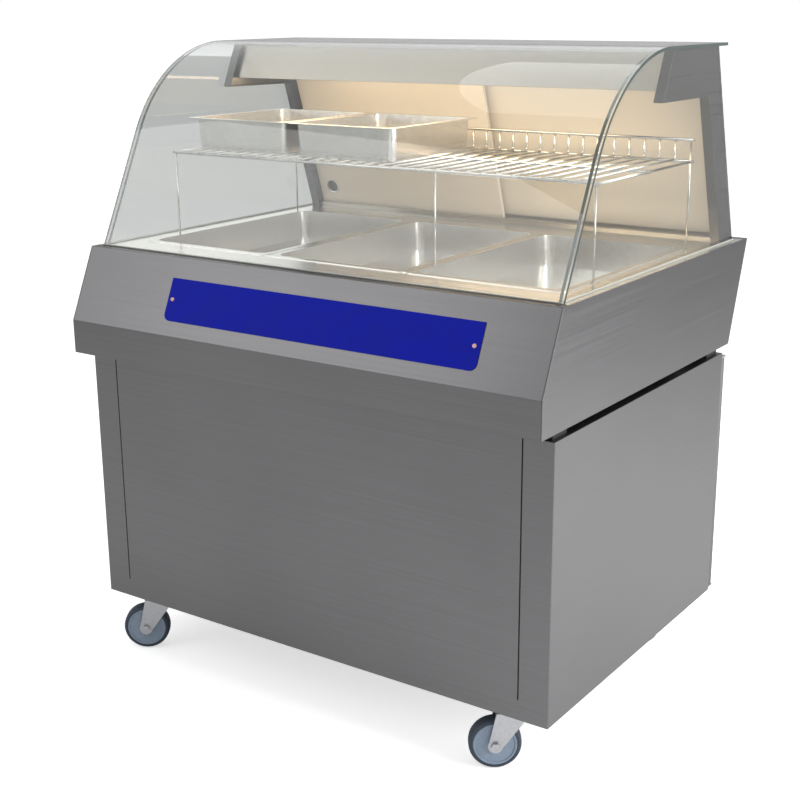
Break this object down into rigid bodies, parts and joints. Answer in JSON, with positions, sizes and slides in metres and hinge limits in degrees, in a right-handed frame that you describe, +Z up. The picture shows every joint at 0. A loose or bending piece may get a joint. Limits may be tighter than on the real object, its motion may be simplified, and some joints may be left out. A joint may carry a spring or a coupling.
{
  "type": "hot food display case",
  "caption": "Heated display counter on castors: pan well and wire shelf under a curved glass canopy with rear sliding doors, above a cupboard with hinged doors.",
  "frame": {"origin": "centre of the outline on the floor, under the middle of the case", "axes": "+Z up, -Y the customer's side with the curved glass, +X to the right seen from the front"},
  "size_m": [1.1, 0.876, 1.296],
  "materials": {
    "brushed_steel": "brushed stainless sheet",
    "pan_steel": "satin stainless",
    "chrome_wire": "bright plated",
    "zinc": "zinc plated steel",
    "tyre_rubber": "grey-blue non-marking rubber",
    "wheel_plastic": "moulded",
    "spacer_plastic": "matte",
    "clear_glass": "polished toughened glass",
    "black_plastic": "moulded black",
    "track_aluminium": "extruded",
    "door_white": "cream coated sheet",
    "sign_blue": "plain blue plate",
    "ceramic": "glazed ceramic",
    "lamp_glass": "quartz tube",
    "pilot_amber": "translucent lens"
  },
  "bodies": {
    "case": {"cabinet_front_panel": "brushed_steel", "cabinet_side_left": "brushed_steel", "cabinet_side_right": "brushed_steel", "cabinet_base_panel": "brushed_steel", "cabinet_top_panel": "brushed_steel", "head_fascia": "brushed_steel", "head_rear_panel": "brushed_steel", "head_sides": "brushed_steel", "head_base_panel": "brushed_steel", "counter_top": "brushed_steel", "well_tank": "brushed_steel", "side_brackets": "brushed_steel", "lamp_canopy": "brushed_steel", "lamp_reflector": "brushed_steel", "wire_shelf": "chrome_wire", "sign_screws": "chrome_wire", "heating_element": "chrome_wire", "castor_plates": "zinc", "cabinet_hinges": "zinc", "head_spacers": "spacer_plastic", "curved_glass": "clear_glass", "end_glasses": "clear_glass", "switch_bodies": "black_plastic", "cable_gland": "black_plastic", "thermostat": "black_plastic", "door_tracks": "track_aluminium", "sign_plate": "sign_blue", "lamp_holders": "ceramic", "heat_lamps": "lamp_glass", "pilot_lights": "pilot_amber"},
    "swivel_front_left": {"castor_fork_front_left": "zinc", "castor_axle_front_left": "zinc"},
    "wheel_front_left": {"castor_hub_front_left": "wheel_plastic", "castor_tyre_front_left": "tyre_rubber"},
    "swivel_front_right": {"castor_fork_front_right": "zinc", "castor_axle_front_right": "zinc"},
    "wheel_front_right": {"castor_hub_front_right": "wheel_plastic", "castor_tyre_front_right": "tyre_rubber"},
    "swivel_rear_left": {"castor_fork_rear_left": "zinc", "castor_axle_rear_left": "zinc"},
    "wheel_rear_left": {"castor_hub_rear_left": "wheel_plastic", "castor_tyre_rear_left": "tyre_rubber"},
    "swivel_rear_right": {"castor_fork_rear_right": "zinc", "castor_axle_rear_right": "zinc"},
    "wheel_rear_right": {"castor_hub_rear_right": "wheel_plastic", "castor_tyre_rear_right": "tyre_rubber"},
    "sliding_leaf_left": {"sliding_door_left": "door_white"},
    "sliding_leaf_right": {"sliding_door_right": "door_white"},
    "cupboard_leaf_left": {"cabinet_door_left": "brushed_steel", "cabinet_handle_left": "chrome_wire"},
    "cupboard_leaf_right": {"cabinet_door_right": "brushed_steel", "cabinet_handle_right": "chrome_wire"},
    "knob": {"thermostat_knob": "black_plastic"},
    "rocker_heat_body": {"rocker_heat": "black_plastic"},
    "rocker_light_body": {"rocker_light": "black_plastic"},
    "pan_left": {"food_pan_left": "pan_steel"},
    "pan_middle": {"food_pan_middle": "pan_steel"},
    "pan_right": {"food_pan_right": "pan_steel"},
    "tray_left": {"shelf_tray_left": "pan_steel"},
    "tray_right": {"shelf_tray_right": "pan_steel"}
  },
  "joints": [
    {"name": "castor_swivel_front_left", "type": "hinge", "parent": "case", "child": "swivel_front_left", "pos_m": [-0.448, -0.331, 0.114], "axis": [0, 0, 1], "continuous": true},
    {"name": "wheel_spin_front_left", "type": "hinge", "parent": "swivel_front_left", "child": "wheel_front_left", "pos_m": [-0.4776, -0.35149, 0.05], "axis": [0.5693, -0.8221, 0], "continuous": true},
    {"name": "castor_swivel_front_right", "type": "hinge", "parent": "case", "child": "swivel_front_right", "pos_m": [0.448, -0.331, 0.114], "axis": [0, 0, 1], "continuous": true},
    {"name": "wheel_spin_front_right", "type": "hinge", "parent": "swivel_front_right", "child": "wheel_front_right", "pos_m": [0.4184, -0.35149, 0.05], "axis": [0.5693, -0.8221, 0], "continuous": true},
    {"name": "castor_swivel_rear_left", "type": "hinge", "parent": "case", "child": "swivel_rear_left", "pos_m": [-0.448, 0.285, 0.114], "axis": [0, 0, 1], "continuous": true},
    {"name": "wheel_spin_rear_left", "type": "hinge", "parent": "swivel_rear_left", "child": "wheel_rear_left", "pos_m": [-0.4776, 0.26451, 0.05], "axis": [0.5693, -0.8221, 0], "continuous": true},
    {"name": "castor_swivel_rear_right", "type": "hinge", "parent": "case", "child": "swivel_rear_right", "pos_m": [0.448, 0.285, 0.114], "axis": [0, 0, 1], "continuous": true},
    {"name": "wheel_spin_rear_right", "type": "hinge", "parent": "swivel_rear_right", "child": "wheel_rear_right", "pos_m": [0.4184, 0.26451, 0.05], "axis": [0.5693, -0.8221, 0], "continuous": true},
    {"name": "slide_left_leaf", "type": "slide", "parent": "case", "child": "sliding_leaf_left", "axis": [1, 0, 0], "range_m": [0, 0.48]},
    {"name": "slide_right_leaf", "type": "slide", "parent": "case", "child": "sliding_leaf_right", "axis": [-1, 0, 0], "range_m": [0, 0.48]},
    {"name": "cupboard_hinge_left", "type": "hinge", "parent": "case", "child": "cupboard_leaf_left", "pos_m": [-0.538, 0.353, 0.399], "axis": [0, 0, 1], "range_deg": [0, 110]},
    {"name": "cupboard_hinge_right", "type": "hinge", "parent": "case", "child": "cupboard_leaf_right", "pos_m": [0.538, 0.353, 0.399], "axis": [0, 0, -1], "range_deg": [0, 110]},
    {"name": "thermostat_turn", "type": "hinge", "parent": "case", "child": "knob", "pos_m": [0, 0.402, 0.7885], "axis": [0, 0.9473, -0.3202], "range_deg": [-270, 0]},
    {"name": "rocker_heat_tilt", "type": "hinge", "parent": "case", "child": "rocker_heat_body", "pos_m": [0.11, 0.39916, 0.78946], "axis": [1, 0, 0], "range_deg": [-8, 8]},
    {"name": "rocker_light_tilt", "type": "hinge", "parent": "case", "child": "rocker_light_body", "pos_m": [-0.11, 0.39916, 0.78946], "axis": [1, 0, 0], "range_deg": [-8, 8]},
    {"name": "lift_pan_left", "type": "slide", "parent": "case", "child": "pan_left", "axis": [0, 0, 1], "range_m": [0, 0.12]},
    {"name": "lift_pan_middle", "type": "slide", "parent": "case", "child": "pan_middle", "axis": [0, 0, 1], "range_m": [0, 0.12]},
    {"name": "lift_pan_right", "type": "slide", "parent": "case", "child": "pan_right", "axis": [0, 0, 1], "range_m": [0, 0.12]},
    {"name": "lift_tray_left", "type": "slide", "parent": "case", "child": "tray_left", "axis": [0, 0, 1], "range_m": [0, 0.05]},
    {"name": "lift_tray_right", "type": "slide", "parent": "case", "child": "tray_right", "axis": [0, 0, 1], "range_m": [0, 0.05]}
  ]
}
